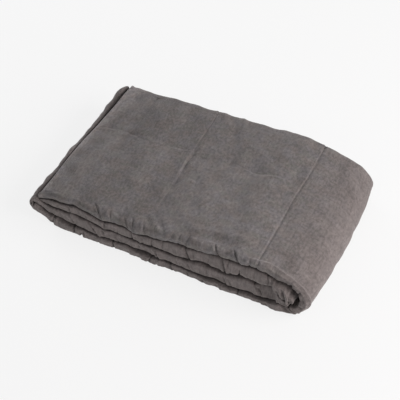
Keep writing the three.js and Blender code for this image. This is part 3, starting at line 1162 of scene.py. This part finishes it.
def linen():
    """A washed linen plain weave with slubs both ways, following the cloth's own coordinates, with
    painted shade and painted light in its colour.
    """
    n = Nodes("washed_linen")
    uv = n.add("UVMap", {}, uv_map="cloth").outputs["UV"]
    pattern = {name: n.noise(uv, *settings) for name, settings in NOISES.items()}
    astray = n.maths("SUBTRACT", n.noise(uv, (STRAYING, STRAYING, 1), 2, 0.5), 0.5)
    strayed = n.add("VectorMath", {0: astray, 1: (STRAY, STRAY, 0), 2: uv}, operation="MULTIPLY_ADD")
    place = n.add("SeparateXYZ", {0: strayed.outputs[0]})
    across, along = place.outputs[:2]
    pattern.update(across=across, along=along)
    turn = np.pi / THREAD_PITCH
    threads = [n.maths("SINE", n.maths("MULTIPLY", way, turn), 0) for way in (across, along)]
    pattern["weave"] = n.maths("MULTIPLY", *threads)
    pattern["slubs"] = n.maths("ADD", pattern["weft slubs"], pattern["warp slubs"])
    # Painted shade: the cloth's colour is darkened in its seams and creases by how near another fold
    # lies.
    painted_shade_node = n.add("AmbientOcclusion", {"Distance": PAINTED_SHADE_DISTANCE}, samples=PAINTED_SHADE_RAYS)
    pattern["painted_crevice_shade"] = painted_shade_node.outputs["AO"]
    # Painted highlight on the rim of the free end, where it catches the light from the left, in patches
    # and strongest towards the back.
    near_end = n.ranged(along, 0, n.ranged(across, *PAINTED_HIGHLIGHT_REACH), 1, 0)
    patches, sideways = n.ranged(pattern["rubbed"], *PAINTED_HIGHLIGHT_PATCHES), n.ranged(across, *PAINTED_HIGHLIGHT_ACROSS)
    pattern["painted_end_highlight"] = n.maths("MULTIPLY", near_end, patches, sideways)

    shades = [n.ranged(pattern[name], *numbers) for name, numbers in SHADING.items()]
    colour = LINEN_COOL
    for name, numbers, tint in TINTS:
        colour = n.blend(n.ranged(pattern[name], *numbers), colour, tint)
    rough = [n.maths("MULTIPLY", pattern[name], share) for name, share in SURFACE.items()]
    n.put(n.shader, {
        "Base Color": n.scaled(colour, n.maths("MULTIPLY", *shades, painted_shade_bands(n, along))),
        "Roughness": n.ranged(pattern["speckle"], *ROUGHNESS),
        "Specular IOR Level": 0.2,
        "Sheen Weight": 0.35,
        "Sheen Roughness": 0.45,
        "Sheen Tint": (1.0, 0.93, 0.91, 1),
        "Normal": n.bump(strength=0.5, distance=0.0008, height=n.maths("ADD", *rough)),
    })
    return n.material


def thread():
    """Spun cotton, with its twist shown as fine bands."""
    n = Nodes("quilting_thread")
    place = n.add("TexCoord", {}).outputs["Object"]
    twist = n.noise(place, (2400, 2400, 900), 2, 0.5)
    n.put(n.shader, {
        "Base Color": n.scaled(THREAD, n.ranged(twist, 0.35, 0.65, 0.8, 1.15)),
        "Roughness": 0.75,
        "Specular IOR Level": 0.3,
        "Normal": n.bump(strength=0.5, distance=0.0001, height=twist),
    })
    return n.material


# --- Floor, light and camera ---

# The lamps: place, what they point at, size, power and colour.
LAMPS = {
    "window_right": ((1.9, 0.3, 1.4), (0.1, 0, 0), (1.8, 1.2), 48, (1.0, 0.972, 0.966)),
    "window_low": ((2.2, -0.55, 0.6), (0.2, -0.05, 0.05), (1.4, 0.9), 11, (1.0, 0.87, 0.84)),
    "window_left": ((-2.0, 1.5, 0.65), (-0.1, 0, 0.05), (1.6, 1.0), 23, (0.93, 0.95, 1.0)),
}
SKY = 0.40  # strength of the even light from all round
FLOOR_SIZE = 4  # metres from the middle to an edge
FLOOR_GREY, FLOOR_GLOW = 0.12, 0.80

TARGET = Vector((0.001, -0.0218, 0.045))
AZIMUTH = 25.47  # degrees round from the front, towards the right
ELEVATION = 49.0
DISTANCE = 3.091
LENS = 135


def floor():
    bm = bmesh.new()
    bmesh.ops.create_grid(bm, x_segments=1, y_segments=1, size=FLOOR_SIZE)
    mesh = meshed("floor", bm)
    n = Nodes("pale_floor")
    n.put(n.shader, {
        "Base Color": (FLOOR_GREY, FLOOR_GREY, FLOOR_GREY, 1),
        "Roughness": 0.9,
        "Emission Color": (1, 1, 1, 1),
        "Emission Strength": FLOOR_GLOW,
    })
    mesh.materials.append(n.material)
    piece = placed("floor", mesh)


def lighting():
    world = bpy.data.worlds.new("studio")
    world.use_nodes = True
    background = world.node_tree.nodes["Background"]
    background.inputs["Color"].default_value = (1.0, 1.0, 1.0, 1)
    background.inputs["Strength"].default_value = SKY
    bpy.context.scene.world = world
    for name, (place, aim, size, power, colour) in LAMPS.items():
        light = bpy.data.lights.new(name, "AREA")
        light.shape = "RECTANGLE"
        light.size, light.size_y = size
        light.energy = power
        light.color = colour
        lamp = placed(name, light)
        lamp.location = place
        lamp.rotation_euler = (Vector(aim) - Vector(place)).to_track_quat("-Z", "Y").to_euler()
    bpy.context.scene.view_settings.view_transform = "Standard"


def camera():
    across, rise = np.radians(AZIMUTH), np.radians(ELEVATION)
    away = Vector((np.sin(across) * np.cos(rise), -np.cos(across) * np.cos(rise), np.sin(rise)))
    data = bpy.data.cameras.new("camera")
    data.lens = LENS
    data.sensor_width = 36
    data.clip_end = 20
    piece = placed("camera", data)
    piece.location = TARGET + away * DISTANCE
    piece.rotation_euler = away.to_track_quat("Z", "Y").to_euler()
    bpy.context.scene.camera = piece


camera()
floor()
lighting()

cloth = Cloth()
skin = shared_grid(cloth)
close_ends(skin, cloth)
bedspread = add_piece("folded_bedspread", skin, linen())
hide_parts("bedspread")
sewn = add_piece("quilting_stitches", stitches(cloth), thread())
